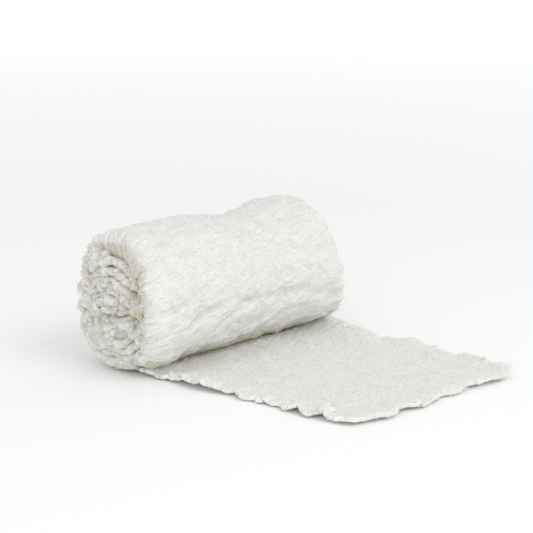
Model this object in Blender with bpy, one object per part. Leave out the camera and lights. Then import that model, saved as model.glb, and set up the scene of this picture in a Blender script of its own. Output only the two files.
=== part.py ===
"""Gauze bandage roll.

A soft strip of crinkled gauze is wound on itself and lies on its side. Its outer turn
leaves the foot of the roll as a loose end that lies flat. The whole strip is one piece of
cloth, so the roll and its loose end are one closed solid.

Frame: X runs along the loose end, Y along the roll's axis, Z up, all in metres. The origin
is on the underside, straight below the roll's axis.
"""

import math
from collections import namedtuple

import bmesh
import bpy
from mathutils import Matrix, Vector, noise

MM = 0.001

# ---------------------------------------------------------------- driving dimensions
CLOTH_THICKNESS = 2.4 * MM  # the folded plies of the loose end
ROLL_RADIUS = 32.0 * MM
AXIS_HEIGHT = 32.4 * MM  # less than the radius at the foot, which gives the flat spot
LAST_TURN_DEG = 347.0  # where the outer turn tucks in on top of the loose end
CREASE_X = 7.0 * MM  # that is here along X
WEDGE_SLOPE = 0.16  # at least this open between the roll and the loose end
CUT_EDGE = 126.5 * MM  # the loose end's cut edge, from the roll's axis
THIN_SHARE = 0.72  # the loose end's sides thin to this share of the thickness
THIN_BAND = 0.06  # over this share of the width
FLAT_HALF_WIDTH = 38.0 * MM  # the loose end touches the table this far each side
FLAT_TO = 112.0 * MM

NEAR_FACE = -64.5 * MM  # where the near end's mean plane crosses the axis
NEAR_FACE_TURN = -0.16  # the plane's slope along X: the front of the roll stands proud
NEAR_FACE_LEAN = -0.07  # and its slope along Z
FAR_FACE = 50.5 * MM
FAR_FACE_LEAN = -0.06

# ---------------------------------------------------------------- mesh steps
TURN_STEPS = 64
STATIONS = (
    0.012, 0.032, 0.06, 0.095, 0.135, 0.18, 0.225, 0.27, 0.315, 0.36, 0.405, 0.45,
    0.495, 0.54, 0.585, 0.63, 0.675, 0.72, 0.765, 0.81, 0.855, 0.895, 0.93, 0.96, 0.985,
)  # shares of the strip's width
END_RINGS = (
    0.968, 0.93, 0.885, 0.835, 0.785, 0.73, 0.675, 0.62, 0.56, 0.5, 0.435, 0.365, 0.29,
    0.21, 0.12,
)  # shares of the way out from the middle of an end
LOOSE_STEPS = 22

# ---------------------------------------------------------------- the strip's two long edges
# Around the roll: turn 0 is the foot, 90 the back, 180 the top and 270 the front.
Edge = namedtuple("Edge", "turn_deg near_y far_y")
WOUND_EDGES = (
    Edge(0, -60.0, 59.0),
    Edge(30, -62.5, 57.0),
    Edge(52, -62.3, 55.0),
    Edge(72, -60.8, 53.5),
    Edge(95, -60.2, 52.0),
    Edge(135, -61.8, 50.0),
    Edge(180, -64.0, 49.0),
    Edge(225, -68.5, 47.5),
    Edge(250, -71.5, 48.5),
    Edge(270, -72.5, 50.0),
    Edge(290, -72.0, 54.0),
    Edge(307, -69.5, 56.5),
    Edge(325, -65.5, 56.0),
    Edge(347, -61.0, 55.0),
)

# Along the loose end: where each long edge lies and how far it curls up off the table.
Side = namedtuple("Side", "x near_y near_lift far_y far_lift")
LOOSE_SIDES = (
    Side(7, -59.0, 1.2, 60.5, 3.0),
    Side(18, -57.4, 0.3, 60.0, 2.8),
    Side(25, -56.0, 0.8, 58.0, 2.5),
    Side(33, -56.5, 2.2, 56.5, 2.0),
    Side(41, -57.0, 2.4, 55.5, 1.6),
    Side(49, -55.5, 2.2, 54.0, 1.4),
    Side(55, -53.5, 0.8, 54.5, 1.2),
    Side(61, -53.0, 1.4, 54.5, 1.2),
    Side(67, -54.0, 0.3, 57.0, 2.6),
    Side(77, -53.0, 0.3, 58.0, 1.4),
    Side(87, -53.0, 0.3, 54.8, 1.2),
    Side(94, -53.5, 2.2, 53.5, 1.0),
    Side(101, -52.5, 0.6, 55.5, 1.3),
    Side(107, -53.5, 2.6, 56.3, 1.2),
    Side(112, -53.2, 0.4, 55.3, 1.0),
    Side(118, -52.5, 0.3, 53.5, 1.0),
    Side(127, -50.5, 0.6, 52.0, 1.2),
)

# Along the cut edge, as an offset from CUT_EDGE: it is uneven, with rounded corners.
Cut = namedtuple("Cut", "y offset lift")
CUT_SIDE = (
    Cut(-53, -7.0, 0.4),
    Cut(-48, -3.2, 0.6),
    Cut(-41, -2.2, 1.6),
    Cut(-33, 0.2, 0.4),
    Cut(-25, -0.8, 1.5),
    Cut(-15, 1.5, 0.3),
    Cut(-5, 0.0, 0.4),
    Cut(5, -1.3, 0.5),
    Cut(13, 0.8, 0.4),
    Cut(20, -2.6, 1.9),
    Cut(27, 0.2, 1.0),
    Cut(36, 2.2, 1.0),
    Cut(45, 3.0, 1.2),
    Cut(52, -0.5, 1.4),
    Cut(57, -7.5, 1.2),
)

# ---------------------------------------------------------------- swells and creases of the roll
# A swell raises or sinks the outer turn around one place. Sizes in degrees and millimetres.
Swell = namedtuple("Swell", "turn_deg y turn_spread y_spread rise")
SWELLS = (
    Swell(180, 8, 62, 20, -3.0),  # the waist, over the top
    Swell(300, 2, 40, 30, -1.7),  # the waist, at the front
    Swell(178, -30, 45, 14, 0.7),
    Swell(176, 40, 55, 11, 1.0),
    Swell(300, 47, 24, 11, 1.8),  # the fuller far corner
    Swell(310, -52, 26, 14, 1.0),
    Swell(238, -28, 26, 20, 0.7),
    Swell(60, 20, 30, 25, 0.9),
    Swell(46, -62, 26, 14, 1.8),  # the near end slumps out at its foot
    Swell(120, -25, 25, 20, -0.9),
    Swell(95, 30, 20, 18, -0.8),
)

# A crease is a soft trough from one place to another.
Crease = namedtuple("Crease", "from_deg from_y to_deg to_y width depth")
CREASES = (
    Crease(283, -49, 271, -22, 3.2, 1.5),
    Crease(293, -30, 273, -9, 2.8, 1.3),
    Crease(276, -15, 279, 15, 3.0, 1.0),
    Crease(270, -66, 272, -55, 3.4, 1.6),
    Crease(222, -58, 224, -48, 2.6, 1.0),
    Crease(285, -62, 283, -32, 2.8, 1.0),
    Crease(278, 24, 285, 48, 3.0, 1.3),
    Crease(246, -42, 232, 0, 3.6, 0.8),
    Crease(256, -24, 247, 6, 3.4, 0.8),
    Crease(60, -45, 78, 5, 3.4, 1.4),
    Crease(112, -8, 100, 38, 3.4, 1.3),
    Crease(140, -48, 130, -8, 3.2, 1.1),
    Crease(45, 12, 55, 50, 3.2, 1.2),
)

# ---------------------------------------------------------------- the crumpled ends
# A fold is a long soft ridge on an end's face, or a hollow where its rise is below zero.
# Each is placed in X and Z from the roll's axis, with its lean from +X towards +Z.
Fold = namedtuple("Fold", "x z half_length half_width lean_deg rise")
NEAR_FOLDS = (
    Fold(0, 19, 13, 2.6, 4, 3.5),  # the upper edge of the inner turns
    Fold(14, 18, 6.5, 1.9, -32, 4.1),  # the long bright fold
    Fold(11, 15.5, 6, 1.5, -36, -3.5),
    Fold(-7, 14, 5, 2.6, 65, 2.4),
    Fold(2, 11, 6, 2.2, -35, 2.2),
    Fold(14, 8, 4.5, 3, 20, -4.3),
    Fold(21, 9.5, 2.8, 3, 90, -3.2),
    Fold(20, -2.5, 3, 4.5, 90, -4.1),
    Fold(12, -3.5, 6, 2.2, 0, -4.3),
    Fold(-9.5, -1.5, 11, 5.2, 8, 4.9),  # the flattened core
    Fold(-9, -2, 3.4, 1.7, -28, 3),
    Fold(-4, -8, 9, 1.7, 12, -4.6),
    Fold(3, -1.5, 1.9, 4.2, 0, -5.4),
    Fold(-16, -4.5, 2.4, 2.2, 0, -3),
    Fold(-4.5, -12, 5, 1.8, -50, 4.1),
    Fold(5, -10, 4.5, 3, 10, 3),
    Fold(14, -13, 6, 2, -22, 2.4),
    Fold(-12.5, -19.5, 5, 1.5, -22, -3.2),
    Fold(-8, -16, 5, 1.4, -25, 2.2),
    Fold(2, -21, 11, 2.4, -4, 2.2),
)
FAR_FOLDS = (
    Fold(3, 1, 9, 4.6, -12, 4.3),
    Fold(3, -7, 9, 1.8, -8, -3.8),
    Fold(-9, 3, 2, 4.5, 10, -3.8),
    Fold(10, 9, 7, 2, -40, 3),
    Fold(-8, 13, 8, 2.2, 28, 3.2),
    Fold(-16, -6, 2.4, 6, 5, 2.7),
    Fold(6, -15, 8, 2.2, 14, 3),
    Fold(17, -4, 2.2, 6, 12, -3.2),
    Fold(0, 20, 9, 2, -2, -2.4),
)

# The hollow just inside the outer turns, deepest under the near end's upper rim.
Gap = namedtuple("Gap", "turn_deg depth")
NEAR_GAP = (
    Gap(0, 0.8),
    Gap(50, 1.6),
    Gap(95, 3.4),
    Gap(140, 5.0),
    Gap(180, 8.0),
    Gap(210, 8.4),
    Gap(235, 5.4),
    Gap(262, 4.0),
    Gap(290, 3.0),
    Gap(325, 1.4),
    Gap(360, 0.8),
)
FAR_GAP = (
    Gap(0, 1.4),
    Gap(90, 3.2),
    Gap(180, 4.4),
    Gap(270, 3.4),
    Gap(360, 1.4),
)
RIM_BLEND_POWER = 5  # how late an end's mean plane bends to meet its rim
RIM_BAND = 0.12  # the relief of an end fades out over this share below the rim
GAP_RADIUS = 24.6 * MM
GAP_HALF_WIDTH = 3.0 * MM

# The rounded rims: how far a rim's rounding reaches along Y and in towards the axis.
Rim = namedtuple("Rim", "turn_deg reach drop")
NEAR_RIM = (
    Rim(0, 3.0, 1.0),
    Rim(60, 3.0, 0.8),
    Rim(110, 3.5, 1.2),
    Rim(150, 5.5, 2.4),
    Rim(180, 8.5, 4.6),
    Rim(215, 9.5, 5.4),
    Rim(245, 6.0, 3.6),
    Rim(270, 4.5, 2.4),
    Rim(320, 4.0, 1.8),
    Rim(360, 3.0, 1.0),
)
FAR_RIM = (
    Rim(0, 3.0, 1.2),
    Rim(120, 4.5, 2.6),
    Rim(240, 4.5, 2.6),
    Rim(360, 3.0, 1.2),
)

# Soft lumps all over, so that no stretch of the cloth is quite even.
LUMP_SIZE = 11.0 * MM
LUMP_RISE = 0.45 * MM
SPIRAL_PITCH = 7.4 * MM  # the main turns that show on an end
SPIRAL_RISE = 0.8 * MM


# ---------------------------------------------------------------- small helpers
def smooth_step(share):
    share = min(max(share, 0.0), 1.0)
    return share * share * (3.0 - 2.0 * share)


def blend(low, high, share):
    return low + (high - low) * share


def read_table(rows, key, place, column):
    """The column's value at a place, eased between the two rows around it."""
    places = [getattr(row, key) for row in rows]
    values = [getattr(row, column) for row in rows]
    if place <= places[0]:
        return values[0]
    for index in range(1, len(rows)):
        if place <= places[index]:
            share = (place - places[index - 1]) / (places[index] - places[index - 1])
            return blend(values[index - 1], values[index], smooth_step(share))
    return values[-1]


def hill(distance, half_width):
    return math.exp(-((distance / half_width) ** 2))


def soft_floor(height, floor, softness=0.5 * MM):
    """The height, eased onto the floor so that it never sinks below it."""
    above = height - floor
    if above >= softness:
        return height
    if above <= -softness:
        return floor
    return floor + (above + softness) ** 2 / (4.0 * softness)


def lump(x, y, z, size=LUMP_SIZE):
    return noise.noise(Vector((x, y, z)) / size)


# ---------------------------------------------------------------- the outer turn
def turn_radius(turn_deg, y):
    """The outer turn's radius: a spiral with the swells and creases of the soft roll."""
    spiral = CLOTH_THICKNESS * (0.5 - turn_deg / 360.0)
    rise = 0.0
    for swell in SWELLS:
        across = (turn_deg - swell.turn_deg) / swell.turn_spread
        along = (y / MM - swell.y) / swell.y_spread
        rise += swell.rise * math.exp(-(across**2) - along**2)
    for crease in CREASES:
        rise -= crease.depth * hill(crease_distance(crease, turn_deg, y / MM), crease.width)
    return ROLL_RADIUS + spiral + rise * MM


def crease_distance(crease, turn_deg, y):
    """Millimetres over the roll's surface from a place to a crease."""
    mm_per_degree = math.radians(ROLL_RADIUS / MM)
    ax, ay = crease.from_deg * mm_per_degree, crease.from_y
    bx, by = crease.to_deg * mm_per_degree, crease.to_y
    px, py = turn_deg * mm_per_degree, y
    length_squared = (bx - ax) ** 2 + (by - ay) ** 2
    share = ((px - ax) * (bx - ax) + (py - ay) * (by - ay)) / length_squared
    share = min(max(share, 0.0), 1.0)
    return math.hypot(px - blend(ax, bx, share), py - blend(ay, by, share))


def rim_drop(turn_deg, from_near, from_far):
    """How far the rounded rims draw the cloth in towards the axis."""
    drop = 0.0
    for rims, distance in ((NEAR_RIM, from_near), (FAR_RIM, from_far)):
        reach = read_table(rims, "turn_deg", turn_deg, "reach") * MM
        if distance < reach:
            share = min(1.0 - distance / reach, 1.0)
            round_off = 1.0 - math.sqrt(1.0 - share * share)
            drop += read_table(rims, "turn_deg", turn_deg, "drop") * MM * round_off
    return drop


def turn_point(turn_deg, width_share):
    """A point on the outer turn, at a share of the way across the strip."""
    near = read_table(WOUND_EDGES, "turn_deg", turn_deg, "near_y") * MM
    far = read_table(WOUND_EDGES, "turn_deg", turn_deg, "far_y") * MM
    y = blend(near, far, width_share)
    radius = turn_radius(turn_deg, y) - rim_drop(turn_deg, y - near, far - y)
    turn = math.radians(turn_deg)
    x = -radius * math.sin(turn)
    z = AXIS_HEIGHT - radius * math.cos(turn)
    ruffle = LUMP_RISE * lump(x, y, z)
    x -= ruffle * math.sin(turn)
    z -= ruffle * math.cos(turn)
    if turn_deg < 90.0:
        z = soft_floor(z, edge_lift(0.0, y, near, far))
    if turn_deg > 270.0:
        wedge = max(x - CREASE_X, 0.0) * WEDGE_SLOPE
        z = soft_floor(z, CLOTH_THICKNESS + edge_lift(x, y, near, far) + wedge)
    return Vector((x, y, z))


# ---------------------------------------------------------------- the loose end
def edge_lift(x, y, near, far):
    """How far the cloth's underside curls up off the table."""
    x_mm = x / MM
    near_lift = read_table(LOOSE_SIDES, "x", x_mm, "near_lift") * MM
    far_lift = read_table(LOOSE_SIDES, "x", x_mm, "far_lift") * MM
    near_share = smooth_step((-FLAT_HALF_WIDTH - y) / (-FLAT_HALF_WIDTH - near))
    far_share = smooth_step((y - FLAT_HALF_WIDTH) / (far - FLAT_HALF_WIDTH))
    lift = near_lift * near_share + far_lift * far_share
    cut_lift = read_table(CUT_SIDE, "y", y / MM, "lift") * MM
    lift += cut_lift * smooth_step((x - FLAT_TO) / (CUT_EDGE - FLAT_TO))
    return lift


def loose_point(length_share, width_share, upper):
    """A point on the loose end's upper or lower side."""
    start = turn_point(LAST_TURN_DEG, width_share).x
    x = blend(start, CUT_EDGE, length_share)
    near = read_table(LOOSE_SIDES, "x", x / MM, "near_y") * MM
    far = read_table(LOOSE_SIDES, "x", x / MM, "far_y") * MM
    y = blend(near, far, width_share)
    offset = read_table(CUT_SIDE, "y", y / MM, "offset") * MM
    x += offset * length_share**3
    z = edge_lift(x, y, near, far)
    if upper:
        from_side = min(width_share, 1.0 - width_share, 1.0 - length_share)
        plump = smooth_step(from_side / THIN_BAND)
        z += CLOTH_THICKNESS * blend(THIN_SHARE, 1.0, plump)
        z += LUMP_RISE * lump(x, y, 0.02) * smooth_step((x - ROLL_RADIUS) / ROLL_RADIUS)
    return Vector((x, y, z))


# ---------------------------------------------------------------- the end faces
def fold_rise(folds, x, z):
    rise = 0.0
    for fold in folds:
        lean = math.radians(fold.lean_deg)
        dx = x - fold.x
        dz = z - fold.z
        along = dx * math.cos(lean) + dz * math.sin(lean)
        across = dz * math.cos(lean) - dx * math.sin(lean)
        rise += fold.rise * hill(along, fold.half_length) * hill(across, fold.half_width)
    return rise * MM


def end_point(is_far, turn_deg, out_share, rim):
    """A point on an end's face, at a share of the way from its middle out to the rim."""
    x = rim.x * out_share
    z = blend(AXIS_HEIGHT, rim.z, out_share)
    from_axis = math.hypot(x, z - AXIS_HEIGHT)
    if is_far:
        plane = FAR_FACE + FAR_FACE_LEAN * (z - AXIS_HEIGHT)
        folds, gaps, outwards = FAR_FOLDS, FAR_GAP, 1.0
    else:
        plane = NEAR_FACE + NEAR_FACE_TURN * x + NEAR_FACE_LEAN * (z - AXIS_HEIGHT)
        folds, gaps, outwards = NEAR_FOLDS, NEAR_GAP, -1.0
    y = blend(plane, rim.y, out_share**RIM_BLEND_POWER)
    inside = smooth_step((1.0 - out_share) / RIM_BAND)
    rise = fold_rise(folds, x / MM, (z - AXIS_HEIGHT) / MM)
    rise += SPIRAL_RISE * math.cos(math.tau * (from_axis / SPIRAL_PITCH + turn_deg / 360.0))
    rise += 1.6 * LUMP_RISE * lump(x, 0.3 * outwards, z, 0.5 * LUMP_SIZE)
    gap_depth = read_table(gaps, "turn_deg", turn_deg, "depth") * MM
    rise -= gap_depth * hill(from_axis - GAP_RADIUS, GAP_HALF_WIDTH)
    return Vector((x, y + outwards * rise * inside, z))


# ---------------------------------------------------------------- the solid
def wound_mesh():
    """A cylinder on its side, cut across its length, ringed on both ends and drawn out at
    its foot, all in step numbers. The vertices are then moved to the cloth's shape."""
    mesh = bmesh.new()
    bmesh.ops.create_cone(
        mesh, cap_ends=True, segments=TURN_STEPS, radius1=1.0, radius2=1.0, depth=1.0
    )
    half_step = math.pi / TURN_STEPS
    on_its_side = Matrix.Rotation(math.pi / 2.0, 3, "X") @ Matrix.Rotation(half_step, 3, "Z")
    bmesh.ops.rotate(mesh, cent=(0.0, 0.0, 0.0), matrix=on_its_side, verts=mesh.verts[:])
    bmesh.ops.translate(mesh, vec=(0.0, 0.5, 0.0), verts=mesh.verts[:])

    for station in STATIONS:
        bmesh.ops.bisect_plane(
            mesh,
            geom=mesh.verts[:] + mesh.edges[:] + mesh.faces[:],
            plane_co=(0.0, station, 0.0),
            plane_no=(0.0, 1.0, 0.0),
        )

    ends = [face for face in mesh.faces if len(face.verts) == TURN_STEPS]
    for end in ends:
        out_share = 1.0
        for ring in END_RINGS:
            thickness = (out_share - ring) * math.cos(half_step)
            bmesh.ops.inset_region(mesh, faces=[end], thickness=thickness)
            out_share = ring
    bmesh.ops.poke(mesh, faces=ends)

    foot = [face for face in mesh.faces if is_foot(face, half_step)]
    for _ in range(LOOSE_STEPS):
        drawn = bmesh.ops.extrude_face_region(mesh, geom=foot)["geom"]
        bmesh.ops.translate(
            mesh,
            vec=(1.0, 0.0, 0.0),
            verts=[item for item in drawn if isinstance(item, bmesh.types.BMVert)],
        )
        bmesh.ops.delete(mesh, geom=foot, context="FACES_ONLY")
        foot = [item for item in drawn if isinstance(item, bmesh.types.BMFace)]
    return mesh


def is_foot(face, half_step):
    """Whether a face is in the narrow band that becomes the loose end."""
    middle = face.calc_center_median()
    on_side = abs(face.normal.y) < 0.5
    return on_side and middle.x > 0.5 and abs(middle.z) < 0.5 * half_step


def cloth_place(steps):
    """Where a vertex goes, from its place in the step-numbered mesh."""
    half_step = math.pi / TURN_STEPS
    width_share = min(max(steps.y, 0.0), 1.0)
    loose_step = round(steps.x - math.cos(half_step))
    if loose_step >= 1:
        return loose_point(loose_step / LOOSE_STEPS, width_share, steps.z > 0.0)
    out_share = math.hypot(steps.x, steps.z)
    turn = (-math.atan2(steps.z, steps.x) - half_step) % math.tau
    index = round(turn / (2.0 * half_step)) % TURN_STEPS
    turn_deg = max(index - 1, 0) * LAST_TURN_DEG / (TURN_STEPS - 2)
    if index == 0:
        rim = loose_point(0.0, width_share, upper=False)
    else:
        rim = turn_point(turn_deg, width_share)
    if out_share > 0.995:
        return rim
    return end_point(width_share > 0.5, turn_deg, out_share, rim)


def gauze_material():
    material = bpy.data.materials.new("white_gauze")
    material.use_nodes = True
    shader = material.node_tree.nodes["Principled BSDF"]
    shader.inputs["Base Color"].default_value = (0.80, 0.80, 0.76, 1.0)
    shader.inputs["Roughness"].default_value = 0.92
    shader.inputs["Metallic"].default_value = 0.0
    material.diffuse_color = (0.80, 0.80, 0.76, 1.0)
    return material


def build():
    for leftover in list(bpy.data.objects):
        bpy.data.objects.remove(leftover, do_unlink=True)
    collection = bpy.data.collections.new("gauze_bandage_roll")
    bpy.context.scene.collection.children.link(collection)

    mesh = wound_mesh()
    places = [cloth_place(vertex.co.copy()) for vertex in mesh.verts]
    for vertex, place in zip(mesh.verts, places):
        vertex.co = place
    bmesh.ops.triangulate(mesh, faces=mesh.faces[:], quad_method="BEAUTY")
    bmesh.ops.recalc_face_normals(mesh, faces=mesh.faces[:])

    data = bpy.data.meshes.new("gauze_bandage")
    mesh.to_mesh(data)
    mesh.free()
    data.shade_smooth()
    data.set_sharp_from_angle(angle=math.radians(60.0))
    data.materials.append(gauze_material())
    bandage = bpy.data.objects.new("gauze_bandage", data)
    collection.objects.link(bandage)


build()
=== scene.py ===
# %% [markdown]
# # A gauze bandage roll
# The real thing is one long strip of crinkled cotton gauze. It is folded into plies, wound on
# itself and laid on its side, and the last hand's breadth of it lies unrolled in front. The packed
# solid gives its true outline. This script dresses that outline with cloth: the outer turn, the
# loose end, the many inner turns that show at the two ends, and the threads that stand off its
# edges. Everything is in metres in the solid's own frame: X along the loose end, Y along the
# roll's axis, Z up.

# %% Load the solid
import math

import bmesh
import bpy
import numpy as np
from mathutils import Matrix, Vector


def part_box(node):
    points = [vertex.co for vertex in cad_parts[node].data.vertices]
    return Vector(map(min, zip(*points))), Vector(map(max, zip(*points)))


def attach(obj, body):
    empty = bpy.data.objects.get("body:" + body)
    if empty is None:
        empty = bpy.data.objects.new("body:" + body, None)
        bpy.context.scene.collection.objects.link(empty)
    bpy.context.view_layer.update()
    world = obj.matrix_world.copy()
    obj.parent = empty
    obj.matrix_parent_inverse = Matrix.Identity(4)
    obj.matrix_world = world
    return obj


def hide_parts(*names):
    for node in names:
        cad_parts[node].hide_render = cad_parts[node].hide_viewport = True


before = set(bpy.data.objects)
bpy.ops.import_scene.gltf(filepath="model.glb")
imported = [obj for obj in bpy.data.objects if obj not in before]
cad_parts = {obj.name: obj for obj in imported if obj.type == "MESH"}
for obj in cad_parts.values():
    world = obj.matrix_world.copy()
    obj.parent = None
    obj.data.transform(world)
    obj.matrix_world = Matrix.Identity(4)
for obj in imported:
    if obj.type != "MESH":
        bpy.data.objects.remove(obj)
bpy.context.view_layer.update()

MM = 0.001
solid_low, solid_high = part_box("gauze_bandage")
print("the solid spans", [round(side / MM, 1) for side in solid_high - solid_low], "mm")

# %% [markdown]
# ## Sizes of the strip
# The solid's box fixes where the cut edge lies, and the roll has the radius and height that the
# solid was built with. The rest are estimates. Six thin plies lie loosely on each other, so the
# loose end is over 2 mm thick. The inner turns are drawn thicker still, so that they press on
# each other.

# %% Sizes of the strip
CLOTH_THICKNESS = 2.4 * MM
INNER_THICKNESS = 2.6 * MM
ROLL_RADIUS = 32.0 * MM
AXIS_HEIGHT = 32.4 * MM
CREASE_X = 7.0 * MM
CUT_EDGE = solid_high.x - 3.0 * MM
STRIP_WIDTH = 114.0 * MM
LAST_TURN = 347.0  # degrees, where the outer turn tucks in on top of the loose end
SPACING = 0.5 * MM  # between the mesh points of cloth that shows
MM_PER_DEGREE = math.radians(ROLL_RADIUS / MM)
START_UNDER_ROLL = 5.0 * MM  # how far the loose end goes on behind the roll's axis
OUTER_START, OUTER_END = -4.0, LAST_TURN + 22.0  # degrees, with what is hidden at both ends
OUTER_LENGTH = 210.0 * MM  # those 373 degrees are 208 mm long, rounded up
print("cut edge at", round(CUT_EDGE / MM, 1), "mm")

# %% [markdown]
# ## Reading a shape from a short table
# A soft roll has no exact form, so its edges and swells are set down as short measured tables: a
# few places and the value at each. Easing between the rows, instead of joining them with
# straight lines, keeps the cloth free of kinks.


# %% Table and blending helpers
def ease(share):
    share = np.clip(share, 0.0, 1.0)
    return share * share * (3.0 - 2.0 * share)


def blend(low, high, share):
    return low + (high - low) * share


def read(table, place, column):
    """The column's value at each place, eased between the rows on either side."""
    places = np.array(table["at"], float)
    values = np.array(table[column], float)
    row = np.clip(np.searchsorted(places, place) - 1, 0, len(places) - 2)
    share = (place - places[row]) / (places[row + 1] - places[row])
    return blend(values[row], values[row + 1], ease(share))


def hill(distance, half_width):
    return np.exp(-((distance / half_width) ** 2))


def eased_floor(height, floor, softness=0.5 * MM):
    """The height, eased onto the floor so that it never sinks below it."""
    above = np.clip(height - floor, -softness, softness)
    return np.where(height > floor + softness, height, floor + (above + softness) ** 2 / (4 * softness))


# %% [markdown]
# ## Random hills
# Crinkled gauze is irregular at every scale: swells as wide as a finger, puckers as small as a
# pinhead. All of them come from one source, smooth random hills on a square grid. Stretching the
# grid makes long wrinkles, folding the hills at their zero line makes sharp creases, and adding
# finer copies makes them rough. The grids come from numbered seeds, so each run gives the same cloth.


# %% Noise helpers
def hills(u, v, seed):
    """Smooth random hills between about -1 and 1, roughly one to each unit square."""
    angles = np.random.default_rng(seed).uniform(0.0, math.tau, (256, 256))
    u, v = np.broadcast_arrays(u, v)
    i = np.floor(u).astype(int)
    j = np.floor(v).astype(int)
    corners = []
    for di, dj in ((0, 0), (1, 0), (0, 1), (1, 1)):
        angle = angles[(i + di) & 255, (j + dj) & 255]
        corners.append(np.cos(angle) * (u - i - di) + np.sin(angle) * (v - j - dj))
    low = blend(corners[0], corners[1], ease(u - i))
    high = blend(corners[2], corners[3], ease(u - i))
    return 1.6 * blend(low, high, ease(v - j))


def rough_hills(u, v, seed, layers=3):
    """Hills with finer hills on them, each layer half the size of the last."""
    total = 0.0
    for layer in range(layers):
        total = total + hills(u * 2**layer, v * 2**layer, seed + layer) / 2**layer
    return total


def creases(u, v, seed):
    """Thin sharp valleys, down to -1, between broad crowns at 0."""
    return -(1.0 - np.minimum(np.abs(2.2 * hills(u, v, seed)), 1.0)) ** 2


def scallops(along, seed, length=5.5, notches=0.8):
    """A frilled edge, in millimetres: round bumps outwards with small sharp notches between."""
    return 1.7 * creases(along / length, 0.5, seed) + notches * creases(along / 2.3, 4.5, seed) + 0.8


# %% [markdown]
# ## Where the strip's long edges run
# Looking down the roll's axis from the near end, the turn angle is 0 at the foot, 90 at the back,
# 180 at the top and 270 at the front, in the direction in which the strip was wound. The strip
# wandered sideways as it was wound, so the near end leans forward at the front and the far end
# spreads at the foot. `reach` and `drop` say how softly the near rim rounds over. `tuck` is how
# far the cloth rolls on over the rim and down the end's face: this makes the smooth hollow under
# the top of the near end.

# %% Tables of the edges
roll_edges = {
    "at": (0, 30, 52, 72, 95, 135, 180, 225, 250, 270, 290, 307, 325, 347, 380),
    "near": (-60, -62.5, -62.3, -60.8, -60.2, -61.8, -64, -68.5, -71.5, -72.5, -72, -69.5, -65.5, -61, -60),
    "far": (59, 57, 55, 53.5, 52, 50, 49, 47.5, 48.5, 50, 54, 56.5, 56, 55, 55),
}
near_rim = {
    "at": (0, 60, 110, 140, 155, 170, 205, 225, 245, 262, 280, 320, 347, 380),
    "reach": (4.0, 3.0, 3.0, 3.5, 5.0, 7.0, 8.0, 9.0, 10.0, 11.0, 11.0, 11.0, 11.0, 5.0),
    "drop": (1.5, 1.4, 1.4, 2.2, 3.4, 4.8, 5.2, 5.0, 5.0, 5.4, 5.4, 5.4, 5.0, 2.0),
    "tuck": (0.2, 1.4, 1.6, 3.5, 9.0, 14.0, 14.0, 10.0, 5.0, 2.5, 1.0, 0.6, 0.4, 0.2),
}
far_rim = {
    "at": (0, 120, 240, 380),
    "reach": (2.5, 4.0, 4.0, 3.0),
    "drop": (1.0, 2.2, 2.2, 1.0),
    "tuck": (0.3, 1.6, 1.6, 0.3),
}
loose_sides = {
    "at": (-5, 7, 18, 25, 33, 41, 49, 55, 61, 67, 77, 87, 94, 101, 107, 112, 118, 127),
    "near": (-56.5, -59, -57.4, -56, -56.5, -57, -55.5, -53.5, -53, -54, -53, -53, -53.5)
    + (-52.5, -53.5, -53.2, -52.5, -50.5),
    "near_lift": (0.8, 1.2, 0.3, 0.8, 2.2, 2.4, 2.2, 0.8, 1.4, 0.3, 0.3, 0.3, 2.2, 0.6, 2.6, 0.4, 0.3, 0.6),
    "far": (57, 60.5, 60, 58, 56.5, 55.5, 54, 54.5, 54.5, 57, 58, 54.8, 53.5, 55.5, 56.3, 55.3, 53.5, 52),
    "far_lift": (2.4, 3.0, 2.8, 2.5, 2.0, 1.6, 1.4, 1.2, 1.2, 2.6, 1.4, 1.2, 1.0, 1.3, 1.2, 1.0, 1.0, 1.2),
}
cut_side = {
    "at": (-53, -48, -41, -33, -25, -15, -5, 5, 13, 20, 27, 36, 45, 52, 57),
    "offset": (-7.0, -3.2, -2.2, 0.2, -0.8, 1.5, 0.0, -1.3, 0.4, -1.2, 0.2, 2.2, 3.0, 0.2, -5.0),
    "lift": (0.4, 0.6, 1.6, 0.4, 1.5, 0.3, 0.4, 0.5, 0.4, 1.4, 1.0, 1.0, 1.0, 1.0, 1.0),
}
FLAT_HALF_WIDTH = 38.0 * MM  # the middle of the loose end lies flat this far to each side
FLAT_TO = 112.0 * MM  # and this far out
EDGE_REACH = 7.0  # millimetres, how far in from an edge its frills and waves are felt


def edge_lift(x, y):
    """How far the loose end's underside curls up off the table."""
    near = read(loose_sides, x / MM, "near") * MM
    far = read(loose_sides, x / MM, "far") * MM
    near_share = ease((-FLAT_HALF_WIDTH - y) / (-FLAT_HALF_WIDTH - near))
    far_share = ease((y - FLAT_HALF_WIDTH) / (far - FLAT_HALF_WIDTH))
    lift = read(loose_sides, x / MM, "near_lift") * near_share
    lift = lift + read(loose_sides, x / MM, "far_lift") * far_share
    lift = lift + read(cut_side, y / MM, "lift") * ease((x - FLAT_TO) / (CUT_EDGE - FLAT_TO))
    return lift * MM


# %% [markdown]
# ## The outer turn's form
# A swell is a soft rise or dip around one place, and a crease is a soft trough from one place to
# another. Both are set in degrees around the roll and millimetres along it. The long creases at
# the front start near the crease with the loose end and sweep upwards, as in a sleeve that was
# pushed back. The ones on the back are guesses in the same manner.

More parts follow.
